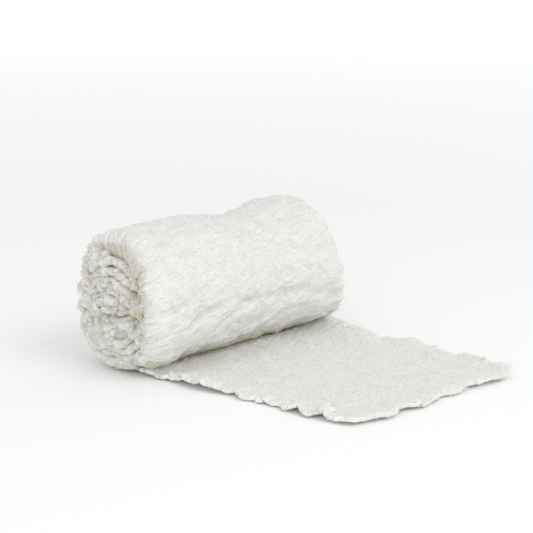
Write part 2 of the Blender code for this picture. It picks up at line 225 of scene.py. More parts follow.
# %% Tables of swells and creases
SWELLS = (  # turn, y, spread of turn, spread of y, rise
    (180, 8, 62, 20, -3.0),
    (300, 2, 40, 30, -1.7),
    (178, -30, 45, 14, 0.7),
    (176, 40, 55, 11, 1.0),
    (300, 47, 24, 11, 1.8),
    (335, -38, 16, 16, -1.2),
    (318, -52, 20, 14, 0.8),
    (327, 44, 16, 14, -0.9),
    (238, -28, 26, 20, 0.7),
    (46, -62, 26, 14, 1.8),
    (60, 20, 30, 25, 0.9),
    (120, -25, 25, 20, -0.9),
    (95, 30, 20, 18, -0.8),
)
CREASES = (  # from turn, from y, to turn, to y, width, depth
    (283, -49, 271, -22, 2.6, 1.7),
    (293, -30, 273, -9, 2.2, 1.4),
    (276, -15, 279, 15, 2.4, 1.1),
    (270, -66, 272, -55, 3.0, 1.7),
    (222, -58, 224, -48, 2.4, 1.1),
    (285, -62, 283, -32, 2.4, 1.1),
    (282, 20, 290, 46, 3.4, 1.0),
    (246, -42, 232, 0, 3.0, 0.9),
    (256, -24, 247, 6, 3.0, 0.9),
    (60, -45, 78, 5, 3.0, 1.4),
    (112, -8, 100, 38, 3.0, 1.3),
    (140, -48, 130, -8, 2.8, 1.1),
    (45, 12, 55, 50, 2.8, 1.2),
)


def distance_to_line(u, v, from_u, from_v, to_u, to_v):
    """How far a place is from a line that runs from one place to another."""
    length_squared = (to_u - from_u) ** 2 + (to_v - from_v) ** 2
    share = ((u - from_u) * (to_u - from_u) + (v - from_v) * (to_v - from_v)) / length_squared
    share = np.clip(share, 0.0, 1.0)
    return np.hypot(u - blend(from_u, to_u, share), v - blend(from_v, to_v, share))


def roll_surface(turn, y):
    """The outer turn's radius at each turn angle and place along the roll."""
    rise = CLOTH_THICKNESS / MM * (0.5 - turn / 360.0)
    for at_turn, at_y, turn_spread, y_spread, height in SWELLS:
        across = (turn - at_turn) / turn_spread
        along = (y / MM - at_y) / y_spread
        rise = rise + height * np.exp(-(across**2) - along**2)
    rise = rise + 0.8 * hill(turn - 330.0, 20.0) * rough_hills(y / MM / 5.0, turn / 30.0, 12, 3)
    wobble = 1.7 * hills(turn / 20.0, y / MM / 15.0, 11)
    for from_turn, from_y, to_turn, to_y, width, depth in CREASES:
        from_u = from_turn * MM_PER_DEGREE
        to_u = to_turn * MM_PER_DEGREE
        away = distance_to_line(turn * MM_PER_DEGREE + wobble, y / MM, from_u, from_y, to_u, to_y)
        rise = rise - depth * hill(away, width)
    return ROLL_RADIUS + rise * MM


# %% [markdown]
# ## Laying the outer turn
# Each point of the strip is given by its turn angle and its share of the way across. Across the
# strip the path is: down the near end's face (the tuck), over the rounded rim, along the roll,
# over the far rim and down again. Near the table the radius is eased onto a floor: the table
# itself behind the foot, and the top of the loose end in front of it, with a narrow wedge of air
# that opens outwards.


# %% Lay the outer turn
FUNNEL_BEND = 18.0  # how fast a tuck bends away into the roll


def rim_path(rim, turn):
    """The reach, drop, tuck and arc length of a rounded rim, in metres."""
    reach, drop, tuck = (read(rim, turn, column) * MM for column in ("reach", "drop", "tuck"))
    arc = 0.5 * math.pi * np.sqrt(0.5 * (reach**2 + drop**2))
    return reach, drop, tuck, arc


def lay_outer_turn(turn, share):
    """Points on the outside of the outer turn, and their distance along the strip's width."""
    around = turn * MM_PER_DEGREE
    smooth_share = 1.0 - 0.55 * hill(turn - 285.0, 38.0) - 0.5 * hill(turn - 190.0, 32.0)
    near = read(roll_edges, turn, "near") * MM - 1.1 * MM * smooth_share * scallops(around, 21)
    far = read(roll_edges, turn, "far") * MM + 0.8 * MM * scallops(around, 22)
    reach, drop, tuck, arc = rim_path(near_rim, turn)
    far_reach, far_drop, far_tuck, far_arc = rim_path(far_rim, turn)
    straight = far - near - reach - far_reach
    width = tuck + arc + straight + far_arc + far_tuck
    along = share * width
    from_far = width - along
    turned = np.clip((along - tuck) / arc, 0.0, 1.0) * 0.5 * math.pi
    far_turned = np.clip((from_far - far_tuck) / far_arc, 0.0, 1.0) * 0.5 * math.pi
    tucked = np.clip(tuck - along, -1.0 * MM, None) * (along < tuck)
    far_tucked = np.clip(far_tuck - from_far, -1.0 * MM, None) * (from_far < far_tuck)
    level = np.clip(along - tuck - arc, 0.0, straight)
    y = near + reach * (1.0 - np.cos(turned)) + level + far_reach * np.cos(far_turned)
    y = y + FUNNEL_BEND * tucked * np.abs(tucked) - FUNNEL_BEND * far_tucked * np.abs(far_tucked)
    radius = roll_surface(turn, y) - drop * (1.0 - np.sin(turned)) - 0.75 * tucked
    radius = radius - far_drop * (1.0 - np.sin(far_turned)) - 0.62 * far_tucked
    at_near_rim = hill((along - tuck) / MM, 7.0) * smooth_share
    at_far_rim = hill((from_far - far_tuck) / MM, 5.0)
    bulge = (1.6 + 0.8 * hill(turn - 95.0, 50.0)) * hills(around / 5.5, along / MM / 9.0, 23)
    radius = radius + bulge * at_near_rim * MM
    radius = radius + 0.8 * MM * at_far_rim * rough_hills(around / 5.0, from_far / MM / 6.0, 24, 2)
    radius = radius - 3.2 * MM * ease((turn - LAST_TURN) / 24.0)
    angle = np.radians(turn)
    x = -radius * np.sin(angle)
    z = AXIS_HEIGHT - radius * np.cos(angle)
    lift = edge_lift(np.clip(x, 0.0, None), y)
    wedge = 0.16 * np.clip(x - CREASE_X, 0.0, None)
    floor = np.where(turn > 200.0, CLOTH_THICKNESS + lift + wedge, lift * (turn < 90.0))
    z = np.where((turn < 90.0) | (turn > 270.0), eased_floor(z, floor), z)
    return np.stack(np.broadcast_arrays(x, y, z), axis=-1), along


def lay_loose_end(x, share):
    """Points on the top of the loose end, and their distance along the strip's width."""
    near = read(loose_sides, x / MM, "near") * MM
    far = read(loose_sides, x / MM, "far") * MM
    y = blend(near, far, share)
    at_near = hill((y - near) / MM, EDGE_REACH)
    at_far = hill((far - y) / MM, EDGE_REACH)
    at_cut = hill((CUT_EDGE - x) / MM, EDGE_REACH)
    notch = 2.4 * hill(x / MM - 108.5, 1.3) * at_near
    side_frill = at_far * scallops(x / MM, 32, 10.0) - at_near * scallops(x / MM, 31, 10.0)
    y = y + (1.3 * side_frill * (1.0 - at_cut) + notch) * MM
    pull = np.clip(x / CUT_EDGE, 0.0, 1.0) ** 3
    # Sharper notches folded the sheet's thin end through itself, and even these do in a few places.
    cut_frill = 1.2 * scallops(y / MM, 33, 16.0, notches=0.2) * at_cut
    cut_frill = cut_frill * (1.0 - at_near) * (1.0 - at_far)
    moved_x = x + (read(cut_side, y / MM, "offset") * pull + cut_frill) * MM
    side_waves = np.maximum(rough_hills(x / MM / 5.0, share * 2.0, 34, 2), 0.0) * (at_near + at_far)
    cut_waves = np.maximum(rough_hills(y / MM / 5.0, 7.5, 35, 2), 0.0) * at_cut
    waves = 1.3 * np.maximum(side_waves, cut_waves) * ease((x / MM - 12.0) / 12.0)
    against_roll = 0.9 * hill(x / MM - 11.0, 5.0)
    z = edge_lift(moved_x, y) + (waves + against_roll) * MM + CLOTH_THICKNESS
    return np.stack(np.broadcast_arrays(moved_x, y, z), axis=-1), y - near


# %% [markdown]
# ## From a lay to a closed strip
# A strip of cloth has a side that shows, a side that doesn't, and rounded edges where its plies
# turn over. One helper makes all three from a lay: it walks across the shown side in fine steps,
# round the edge, and back along the hidden side in coarse steps, which saves most of its faces.
# Rows of such rings are joined with quads, and the two ends are filled. A cloth is given as three
# things: how it is laid, how it is crinkled, and how far to each side its slope is sampled.


# %% Strip builder
def ring_places(shares, hidden):
    """Round the strip's section: share across, how far round an edge, and which side."""
    edge_angles = np.radians((60, 30, 0, -30, -60))
    share = np.concatenate([shares, np.ones(5), hidden, np.zeros(5)])
    outward = np.concatenate([shares * 0, np.cos(edge_angles), hidden * 0, -np.cos(edge_angles)])
    side = np.concatenate([shares * 0 + 1, np.sin(edge_angles), hidden * 0 - 1, np.sin(-edge_angles)])
    return share, outward, side


def unit(vectors):
    return vectors / np.maximum(np.linalg.norm(vectors, axis=-1, keepdims=True), 1e-12)


def shown_side(cloth, place, share):
    """A strip's shown side: points, normals, the way across, the rise, the painted shade, the place across.
    """
    lay, crinkle, step = cloth
    points, across = lay(place, share)
    along_strip = lay(place + step, share)[0] - lay(place - step, share)[0]
    inner = np.clip(share, 0.004, 0.996)
    over_width = lay(place, inner + 0.004)[0] - lay(place, inner - 0.004)[0]
    normal = unit(np.cross(along_strip, over_width))
    rise, painted_shade = crinkle(place, share, across)
    return points, normal, unit(over_width), rise * MM, painted_shade * MM, across


def strip_points(cloth, places, flat_u, shares, hidden, thickness, fullness=1.0, puffed=0.0):
    """All the ring points of a strip, their painted shade and their place across the flat strip."""
    share, outward, side = ring_places(shares, hidden)
    surface = shown_side(cloth, places[:, None], share[None, :])
    points, normal, width_way, rise, painted_shade, across = surface
    half = 0.5 * thickness * np.broadcast_to(fullness, places.shape)[:, None]
    half = half * (1.0 + puffed * hill(np.minimum(share, 1.0 - share) * STRIP_WIDTH / MM, 14.0))
    sunk = half - 0.5 * thickness
    knobs = 1.0 + 0.6 * rough_hills(flat_u[:, None] / 1.9, side[None, :] * 0.8 + share[None, :] * 9.0, 26, 2)
    raised = rise * (0.5 + 0.5 * side) * half / (0.5 * thickness) + (side - 1.0) * half + sunk
    points = points + normal * raised[..., None]
    points = points + width_way * (outward * half * knobs)[..., None]
    return points, painted_shade, across


def build_strip(name, points, painted_shade, flat_u, flat_v):
    """One closed mesh from rows of rings, with its painted-shade attribute and its flat UV map."""
    rows, ring = points.shape[:2]
    corner = np.arange(rows * ring).reshape(rows, ring)
    after = np.roll(corner, -1, axis=1)
    quads = np.stack([corner[:-1], after[:-1], after[1:], corner[1:]], axis=-1).reshape(-1, 4)
    mesh = bpy.data.meshes.new(name)
    caps = [corner[0].tolist()[::-1], corner[-1].tolist()]
    mesh.from_pydata(points.reshape(-1, 3).tolist(), [], quads.tolist() + caps)
    # Painted shade, kept as a point attribute for the material.
    depth = mesh.attributes.new("painted_shade_depth", "FLOAT", "POINT")
    depth.data.foreach_set("value", painted_shade.reshape(-1).astype(np.float32))
    flat = np.stack([np.broadcast_to(flat_u, (rows, ring)), flat_v], axis=-1).reshape(-1, 2)
    loops = np.empty(len(mesh.loops), int)
    mesh.loops.foreach_get("vertex_index", loops)
    uv_map = mesh.uv_layers.new(name="strip")
    uv_map.data.foreach_set("uv", flat[loops].astype(np.float32).reshape(-1))
    strip = bpy.data.objects.new(name, mesh)
    bpy.context.scene.collection.objects.link(strip)
    tidy = bmesh.new()
    tidy.from_mesh(mesh)
    caps = [face for face in tidy.faces if len(face.verts) > 4]
    bmesh.ops.triangulate(tidy, faces=caps)
    bmesh.ops.recalc_face_normals(tidy, faces=tidy.faces[:])
    tidy.to_mesh(mesh)
    triangles = sum(len(face.verts) - 2 for face in tidy.faces)
    closed = all(len(edge.link_faces) == 2 for edge in tidy.edges)
    tidy.free()
    mesh.shade_smooth()
    print(name, "triangles", triangles, "closed", closed)
    return strip


# %% [markdown]
# ## Crinkles
# Crinkle-weave gauze shrinks when it is washed after weaving, and draws up into small puckers.
# Here they are laid in the strip's own directions, in four layers: soft swells, long wrinkles
# that run with the pull of the winding, short strokes where bundles of thread lie together, and
# the pinhead puckers. Besides the rise, each crinkle function gives a painted shade value that is
# low in fine creases, in deep folds and down between the turns, where shade falls. It is kept as a
# point attribute of each strip, and the material tints the low places darker and warmer: painted shade.


# %% Crinkle layers
def puckers(along, across, seed):
    """The small relief that all the gauze has, in millimetres. Both places are in millimetres."""
    bend_u = 1.6 * hills(along / 6.0, across / 6.0, seed)
    bend_v = 1.6 * hills(along / 6.0, across / 6.0, seed + 1)
    strokes = creases((along + bend_u) / 3.2, (across + bend_v) / 1.4, seed + 2)
    slant_u = (along + 0.8 * across + bend_v) / 2.8
    slant_v = (across - 0.8 * along + bend_u) / 1.5
    other_strokes = creases(slant_u, slant_v, seed + 3)
    pinheads = rough_hills((along + bend_v) / 1.7, (across + bend_u) / 1.7, seed + 4, 2)
    return 0.30 * strokes + 0.30 * other_strokes + 0.26 * pinheads


def outer_crinkle(turn, share, across):
    along = turn * MM_PER_DEGREE
    over = across / MM
    low_half = ease((turn - 215.0) / 50.0) + ease((70.0 - turn) / 50.0)
    swell = 0.75 * rough_hills(along / 15.0, over / 19.0, 41)
    bend = 1.8 * hills(along / 12.0, over / 16.0, 42)
    slant = along + 0.38 * over + bend
    down_slant = over - 0.3 * along
    wrinkles = 1.3 * hills(slant / 5.0, down_slant / 30.0, 43)
    wrinkles = wrinkles + 0.5 * creases(slant / 4.2, down_slant / 24.0, 46)
    fine_wrinkles = creases(slant / 1.6, down_slant / 10.0, 44)
    fine_wrinkles = fine_wrinkles + 0.6 * hills(slant / 1.3, down_slant / 7.0, 47)
    fine = 0.40 * fine_wrinkles + 0.6 * puckers(along, over, 45)
    rise = swell + blend(0.34, 0.5, low_half) * wrinkles + fine + 0.2
    # Painted shade: the second value darkens the fine creases, a band along the crease with the loose end,
    # and the hollow under the near rim.
    crease_shade = 1.6 * ease((turn - 308.0) / 20.0) * ease((1.0 - share) * 9.0) * (turn < 352.0)
    tuck = read(near_rim, turn, "tuck")
    in_hollow = ease((tuck + 1.5 - over) / 5.0)
    smooth = 1.0 - 0.8 * in_hollow
    return rise * smooth, 0.55 * fine * smooth - crease_shade - 1.3 * in_hollow


def loose_crinkle(x, share, across):
    along = x / MM
    over = across / MM
    swell = 0.4 * rough_hills(along / 13.0, over / 13.0, 51)
    wrinkles = 0.25 * creases(along / 4.0, over / 9.0, 52)
    at_side = np.minimum(share, 1.0 - share) * STRIP_WIDTH / MM
    at_cut = (CUT_EDGE - x) / MM
    at_edge = np.minimum(at_side, at_cut)
    thin = 0.4 * (1.0 - ease(at_edge / 4.0))
    lumps = 0.9 * hill(at_edge, 5.0) * rough_hills(along / 5.0, over / 5.0, 53, 2)
    corner_lump = 2.2 * hill(np.hypot(along - 112.5, over - 3.5), 4.0)
    corner_lump = corner_lump - 1.0 * hill(distance_to_line(along, over, 107.5, 0.0, 109.5, 9.0), 1.6)
    fine = 1.1 * puckers(along, over, 55)
    # Painted shadow: a speckled darker band on the loose end just in front of the roll, and darker fine
    # creases.
    shade_speckles = 0.5 + 1.1 * np.maximum(rough_hills(along / 1.3, over / 1.3, 54, 2), 0.0)
    crease_shade = 1.5 * shade_speckles * (1.0 - ease((along - 10.0) / 7.0)) * (0.2 + 0.8 * hill(over - 45.0, 30.0))
    rise = swell + wrinkles + fine - thin + lumps + corner_lump + 0.1
    return eased_floor(rise, -1.0, 0.6), 0.75 * fine - crease_shade


# %% Make the loose end
CUT_ROUNDING = 1.2 * MM
TABLE_SOFTNESS = 0.15 * MM


def even_steps(start, end, spacing):
    return np.linspace(start, end, max(int(abs(end - start) / spacing), 2))


across_shares = even_steps(0.0, 1.0, SPACING / STRIP_WIDTH)
loose_hidden = np.linspace(1.0, 0.0, 56)
cut_angles = np.radians(np.arange(12.0, 85.0, 12.0))
loose_places = even_steps(-START_UNDER_ROLL, CUT_EDGE - CUT_ROUNDING, SPACING)
tapered = 0.3 + 0.7 * ease((loose_places + START_UNDER_ROLL) / (6.0 * MM))
fullness = np.concatenate([tapered, np.cos(cut_angles)])
rounded_places = CUT_EDGE - CUT_ROUNDING + CUT_ROUNDING * np.sin(cut_angles)
loose_places = np.concatenate([loose_places, rounded_places])
loose_cloth = (lay_loose_end, loose_crinkle, 0.3 * MM)
points, painted_shade, across = strip_points(
    loose_cloth,
    loose_places,
    loose_places / MM,
    across_shares,
    loose_hidden,
    CLOTH_THICKNESS,
    fullness,
)
points[..., 2] = eased_floor(points[..., 2], 0.0, TABLE_SOFTNESS)
loose_end = build_strip("loose_end", points, painted_shade, loose_places[:, None], across)

# %% Make the outer turn
BACK_SPACING = 0.8  # millimetres, coarser than on the side that the photograph shows
BACK_END = 140.0  # degrees
back_places = even_steps(OUTER_START, BACK_END, BACK_SPACING / MM_PER_DEGREE)
front_places = even_steps(BACK_END + 1.0, OUTER_END, SPACING / MM / MM_PER_DEGREE)
turn_places = np.concatenate([back_places, front_places])
outer_hidden = np.linspace(1.0, 0.0, 16)
outer_cloth = (lay_outer_turn, outer_crinkle, 0.5)
points, painted_shade, across = strip_points(
    outer_cloth,
    turn_places,
    turn_places * MM_PER_DEGREE,
    across_shares,
    outer_hidden,
    CLOTH_THICKNESS,
    0.3 + 0.7 * ease((turn_places - OUTER_START) / 9.0),
)
points[..., 2] = eased_floor(points[..., 2], 0.0, TABLE_SOFTNESS)
flat_places = -turn_places[:, None] * MM_PER_DEGREE * MM
outer_turn = build_strip("outer_turn", points, painted_shade, flat_places, across)

# %% [markdown]
# ## The inner turns
# The rest of the strip, about 1.2 m, is wound inside the outer turn and shows only at the two
# ends. Real turns are never the neat circles of a drawing: they flatten round an off-centre core,
# they lean over each other, and each one's edge stands out or sinks a little. So the strip follows
# a plain spiral first. Then the whole section is pushed about, the edges are moved in and out to
# a relief placed one by one from the photograph, and they are leaned over in patches. The cloth is
# thicker than the space for a turn, most of all at its edges, so neighbouring turns run into each
# other. That closes most of the gaps, as in squeezed cloth, but the mesh would have to be united
# before it is printed or simulated.

# %% Relief of the ends
CORE_X, CORE_Z = -7.5, -2.0  # millimetres, the flattened core lies off the roll's axis
NEAR_FOLDS = (  # x, z from the axis, half length, half width, lean in degrees, rise
    (0, 19, 13, 2.6, 4, 1.0),
    (13, 17.5, 6.5, 1.9, -32, 2.6),
    (11, 15.5, 6, 1.5, -36, -2.2),
    (-7, 14, 5, 2.6, 65, 2.4),
    (2, 11, 6, 2.2, -35, 2.2),
    (14, 8, 4.5, 3, 20, -3.0),
    (21, 9.5, 2.8, 3, 90, -2.2),
    (20, -2.5, 3, 4.5, 90, -4.1),
    (12, -3.5, 6, 2.2, 0, -4.3),
    (-9.5, -1.5, 11, 5.2, 8, 4.9),
    (-9, -2, 3.4, 1.7, -28, 3),
    (-4, -8, 9, 1.7, 12, -4.6),
    (3, -1.5, 1.9, 4.2, 0, -5.4),
    (-16, -4.5, 2.4, 2.2, 0, -3),
    (-4.5, -12, 5, 1.8, -50, 4.1),
    (5, -10, 4.5, 3, 10, 3),
    (14, -13, 6, 2, -22, 2.4),
    (-12.5, -19.5, 5, 1.5, -22, -0.8),
    (-8, -16, 5, 1.4, -25, 2.2),
    (2, -21, 11, 2.4, -4, 2.2),
    (-12, -21.5, 3.5, 3, 0, 2.0),
)
FAR_FOLDS = (
    (3, 1, 9, 4.6, -12, 4.3),
    (3, -7, 9, 1.8, -8, -3.8),
    (-9, 3, 2, 4.5, 10, -3.8),
    (10, 9, 7, 2, -40, 3),
    (-8, 13, 8, 2.2, 28, 3.2),
    (-16, -6, 2.4, 6, 5, 2.7),
    (6, -15, 8, 2.2, 14, 3),
    (17, -4, 2.2, 6, 12, -3.2),
    (0, 20, 9, 2, -2, -2.4),
)
near_gap = {  # how deep the turns sink inside the near rim, and the radius where that begins
    "at": (0, 32, 60, 95, 140, 155, 170, 205, 225, 245, 262, 290, 325, 360),
    "depth": (0.5, -2.6, 0.2, 0.3, 2.5, 7.0, 10.0, 10.0, 8.0, 4.5, 3.0, 2.0, 1.0, 0.5),
    "inside": (27, 27, 26.5, 26, 24.5, 21.5, 19.5, 19, 20, 22, 22.5, 23.5, 25, 27),
}


def fold_relief(folds, x, z):
    """How far the folds of an end stand out, in millimetres, at a place from the roll's axis."""
    rise = 0.0
    for fold_x, fold_z, half_length, half_width, lean, height in folds:
        lean = math.radians(lean)
        along = (x - fold_x) * math.cos(lean) + (z - fold_z) * math.sin(lean)
        over = (z - fold_z) * math.cos(lean) - (x - fold_x) * math.sin(lean)
        rise = rise + height * hill(along, half_length) * hill(over, half_width)
    return rise


def near_face(x, z, turn, radius):
    """Where the inner turns' near edges lie along Y, in millimetres."""
    plane = -64.5 - 0.16 * x - 0.07 * z
    gap = read(near_gap, turn % 360.0, "depth")
    inside = read(near_gap, turn % 360.0, "inside")
    curl = 2.6 * hill(np.hypot(x - CORE_X, 1.3 * (z - CORE_Z)) - 6.5, 1.6)
    return plane - fold_relief(NEAR_FOLDS, x, z) + curl + gap * ease((radius - inside + 1.5) / 5.0)


def far_face(x, z, radius):
    """Where their far edges lie, in the same way."""
    return 49.5 - 0.06 * z + fold_relief(FAR_FOLDS, x, z) - 2.0 * ease((radius - 24.0) / 2.5)


# %% Lay the inner turns
INNER_START = 30.3  # millimetres from the axis, just inside the outer turn's end
INNER_END = 0.6
PITCH = 2.4  # from one inner turn to the next
inner_length = math.pi * (INNER_START**2 - INNER_END**2) / PITCH
print("inner turns:", round((INNER_START - INNER_END) / PITCH, 1), "length", round(inner_length), "mm")


def spiral(distance):
    """Turn angle in degrees and radius in millimetres, this far along the inner turns."""
    radius = np.sqrt(np.maximum(INNER_START**2 - distance * PITCH / math.pi, INNER_END**2))
    turn = LAST_TURN + (INNER_START - radius) * 360.0 / PITCH
    return turn, radius


def section_place(distance):
    """The turn, the radius, and the place in the roll's section before it is pushed about."""
    turn, radius = spiral(distance)
    angle = np.radians(turn)
    core = 1.0 - ease(radius / 25.0)
    x = -radius * np.sin(angle) * (1.0 + 0.30 * core) + CORE_X * core
    z = -radius * np.cos(angle) * (1.0 - 0.38 * core) + CORE_Z * core
    return turn, radius, x, z


def lay_inner_turns(distance, share):
    """Points on the outside of the inner turns, distance in millimetres along the strip."""
    turn, radius, x, z = section_place(distance)
    angle = np.radians(turn)
    which = np.round(turn / 360.0)
    bend_x = 3.0 * hills(x / 11.0, z / 11.0, 64)
    bend_z = 3.0 * hills(x / 11.0, z / 11.0, 65)
    lumps = 1.9 * hills((x + bend_x) / 7.0, (z + bend_z) / 5.5, 69)
    grooves = 2.0 * creases((x + bend_z) / 11.0, (z + bend_x) / 6.0, 60)
    near = near_face(x, z, turn, radius) - 0.6 * scallops(distance, 61, 8.0) - lumps - grooves
    near = near + 0.9 * hills(distance / 25.0, which * 7.7, 62)
    far = far_face(x, z, radius) + 0.7 * scallops(distance, 63, 8.0) + 1.3 * lumps + 1.3 * grooves
    far = far + 1.6 * hills(distance / 21.0, which * 5.3, 72)
    y = blend(near, far, share)
    from_near = y - near
    from_far = far - y
    squeeze = roll_surface(turn % 360.0, np.clip(y, -58.0, 46.0) * MM) / MM
    plain_radius = 33.2 - 2.4 * (turn % 360.0) / 360.0  # the outer turn's, without swells
    squeeze = squeeze / plain_radius
    squeeze = blend(1.0, squeeze, np.clip(radius / 28.0, 0.0, 1.0))
    leaning = np.clip(1.0 - from_near / 14.0, 0.0, 1.0) ** 2
    leaning = leaning + 1.4 * np.clip(1.0 - from_far / 14.0, 0.0, 1.0) ** 2
    inward = ease((30.0 - radius) / 7.0)
    lean_x = 2.6 * inward * leaning * hills(x / 12.0, z / 12.0, 66)
    lean_z = 2.6 * inward * leaning * hills(x / 12.0, z / 12.0, 67)
    ruffle = 0.9 * leaning * hills(distance / 6.0, share * 3.0 + which * 3.3, 68)
    at_back = hill(turn % 360.0 - 95.0, 60.0) + 0.8 * hill(turn % 360.0 - 42.0, 18.0)
    fills = 1.0 + 0.04 * ease((radius - 24.0) / 4.0) * at_back
    x = x * squeeze * fills + lean_x - ruffle * np.sin(angle)
    z = z * squeeze * fills + lean_z - ruffle * np.cos(angle)
    z = np.maximum(z * MM + AXIS_HEIGHT, 1.0 * MM)
    return np.stack(np.broadcast_arrays(x * MM, y * MM, z), axis=-1), from_near * MM


def inner_crinkle(distance, share, across):
    fine = 1.4 * puckers(distance, across / MM, 71)
    from_edge = np.minimum(share, 1.0 - share) * STRIP_WIDTH / MM
    _, radius, x, z = section_place(distance)
    relief = blend(fold_relief(NEAR_FOLDS, x, z), fold_relief(FAR_FOLDS, x, z), ease(share * 3.0 - 1.0))
    # Painted shade: darker in fine creases and further in from each turn's edge, less dark where folds stand
    # out and in the outer turns.
    painted_shade = fine - 0.5 - 0.3 * np.minimum(from_edge, 6.0) + 0.28 * np.minimum(relief, 1.6)
    return fine, painted_shade + 0.35 * ease((radius - 22.0) / 4.0)


# %% Make the inner turns
near_shares = np.array((0.0, 0.7, 1.4, 2.1, 2.9, 3.8, 5.0, 7.0, 10.0, 15.0)) / (STRIP_WIDTH / MM)
inner_shares = np.concatenate([near_shares, (0.25, 0.38, 0.5, 0.62, 0.75), 1.0 - near_shares[::-1]])
inner_hidden = inner_shares[::-2]
inner_places = even_steps(0.0, inner_length - 1.0, spacing=0.7)
inner_cloth = (lay_inner_turns, inner_crinkle, 0.4)
points, painted_shade, across = strip_points(
    inner_cloth,
    inner_places,
    inner_places,
    inner_shares,
    inner_hidden,
    INNER_THICKNESS,
    puffed=0.5,
)
inner_turns = build_strip("inner_turns", points, painted_shade, inner_places[:, None] * MM, across)

# %% [markdown]
# ## Loose threads
# Up close, gauze is mostly air: what the eye sees is a tangle of thin curly threads, some lying
# on the cloth and some standing off its edges. They could be particle hair, but here each thread
# is a thin three-sided tube of real mesh, so that it also reaches the exported model. The threads
# on a face are short walks over the crinkled surface, and the ones at an edge are little arcs in
# the air with one root in the cloth.


# %% Thread tubes
THREAD_RADIUS = 0.10 * MM
FOLD_THREAD_RADIUS = 0.13 * MM
EDGE_THREAD_RADIUS = 0.14 * MM
LOWEST_THREAD = 0.2 * MM  # so that no tube dips into the table
TO_MIDDLE_PLY = 1.2 * MM  # from the shown side down to about the middle of the cloth


def above_table(paths):
    paths[..., 2] = np.maximum(paths[..., 2], LOWEST_THREAD)
    return paths


def thread_mesh(name, paths, radius):
    """One mesh of closed tapering tubes, one for each row of path points."""
    count, length = paths.shape[:2]
    forward = unit(np.gradient(paths, axis=1))
    sideways = unit(np.cross(forward, np.array((0.31, 0.17, 0.93))))
    upward = np.cross(forward, sideways)
    taper = np.minimum(1.0, 0.35 + np.minimum(np.arange(length), np.arange(length)[::-1]) * 0.3)
    angles = np.radians((90.0, 210.0, 330.0))
    offset = sideways[:, :, None] * np.cos(angles)[:, None] + upward[:, :, None] * np.sin(angles)[:, None]
    points = paths[:, :, None] + offset * (radius * taper)[:, None, None]
    corner = np.arange(count * length * 3).reshape(count, length, 3)
    after = np.roll(corner, -1, axis=2)
    quads = np.stack([corner[:, :-1], after[:, :-1], after[:, 1:], corner[:, 1:]], axis=-1)
    ends = corner[:, 0, ::-1].tolist() + corner[:, -1].tolist()
    mesh = bpy.data.meshes.new(name)
    mesh.from_pydata(points.reshape(-1, 3).tolist(), [], quads.reshape(-1, 4).tolist() + ends)
    threads = bpy.data.objects.new(name, mesh)
    bpy.context.scene.collection.objects.link(threads)
    print(name, "threads", count, "triangles", count * ((length - 1) * 6 + 2))
    return threads


def surface_walks(count, length, step, u_range, v_range, heading, spread, seed):
    """Curly walks over a flat strip, in millimetres: starts anywhere, with a bent heading."""
    random = np.random.default_rng(seed)
    turn = math.radians(heading) + random.normal(0.0, math.radians(spread), (count, 1))
    turn = turn + math.pi * random.integers(0, 2, (count, 1))
    bend = random.normal(0.0, 0.10, (count, 1)) + random.normal(0.0, 0.32, (count, length))
    turn = turn + np.cumsum(bend, axis=1)
    u = random.uniform(*u_range, (count, 1)) + np.cumsum(step * np.cos(turn), axis=1)
    v = random.uniform(*v_range, (count, 1)) + np.cumsum(step * np.sin(turn), axis=1)
    lift = 0.02 + 0.10 * np.abs(hills(np.arange(length) / 4.0, np.arange(count)[:, None] * 3.7, seed))
    return u, np.clip(v, *v_range), lift * MM


def edge_curls(roots, outward, length, step, seed):
    """Small arcs of thread that leave their roots outwards and curl as they go."""
    random = np.random.default_rng(seed)
    count = len(roots)
    heading = unit(outward + random.normal(0.0, 0.8, (count, 3)))
    axis = unit(random.normal(0.0, 1.0, (count, 3)))
    curl = random.uniform(0.15, 0.75, (count, 1))
    pace = step * random.uniform(0.5, 1.2, (count, 1))
    here = roots - heading * 0.4 * MM
    points = []
    for _ in range(length):
        points.append(here)
        here = here + heading * pace
        wobble = random.normal(0.0, 0.15, (count, 3))
        heading = unit(heading + np.cross(axis, heading) * curl + wobble)
    return np.stack(points, axis=1)


# %% Threads that lie on the cloth
OUTER_WIDTH, LOOSE_WIDTH = 117.0, 112.0  # millimetres across


def laid_paths(cloth, place, share, lift):
    """Thread paths on the shown side of a strip, lifted off its crinkles."""
    points, normal, _, rise = shown_side(cloth, place, share)[:4]
    return points + normal * (rise + lift)[..., None]


u, v, lift = surface_walks(
    count=1700,
    length=13,
    step=0.85,
    u_range=(70.0, 204.0),
    v_range=(1.5, 115.0),
    heading=115.0,
    spread=24.0,
    seed=81,
)
paths = laid_paths(outer_cloth, u / MM_PER_DEGREE, v / OUTER_WIDTH, lift)
roll_threads = thread_mesh("roll_threads", above_table(paths), THREAD_RADIUS)

u, v, lift = surface_walks(
    count=1000,
    length=11,
    step=0.75,
    u_range=(8.0, 118.0),
    v_range=(3.0, 109.0),
    heading=35.0,
    spread=60.0,
    seed=82,
)
paths = laid_paths(loose_cloth, np.minimum(u, 121.0) * MM, v / LOOSE_WIDTH, lift)
loose_threads = thread_mesh("loose_threads", paths, THREAD_RADIUS)


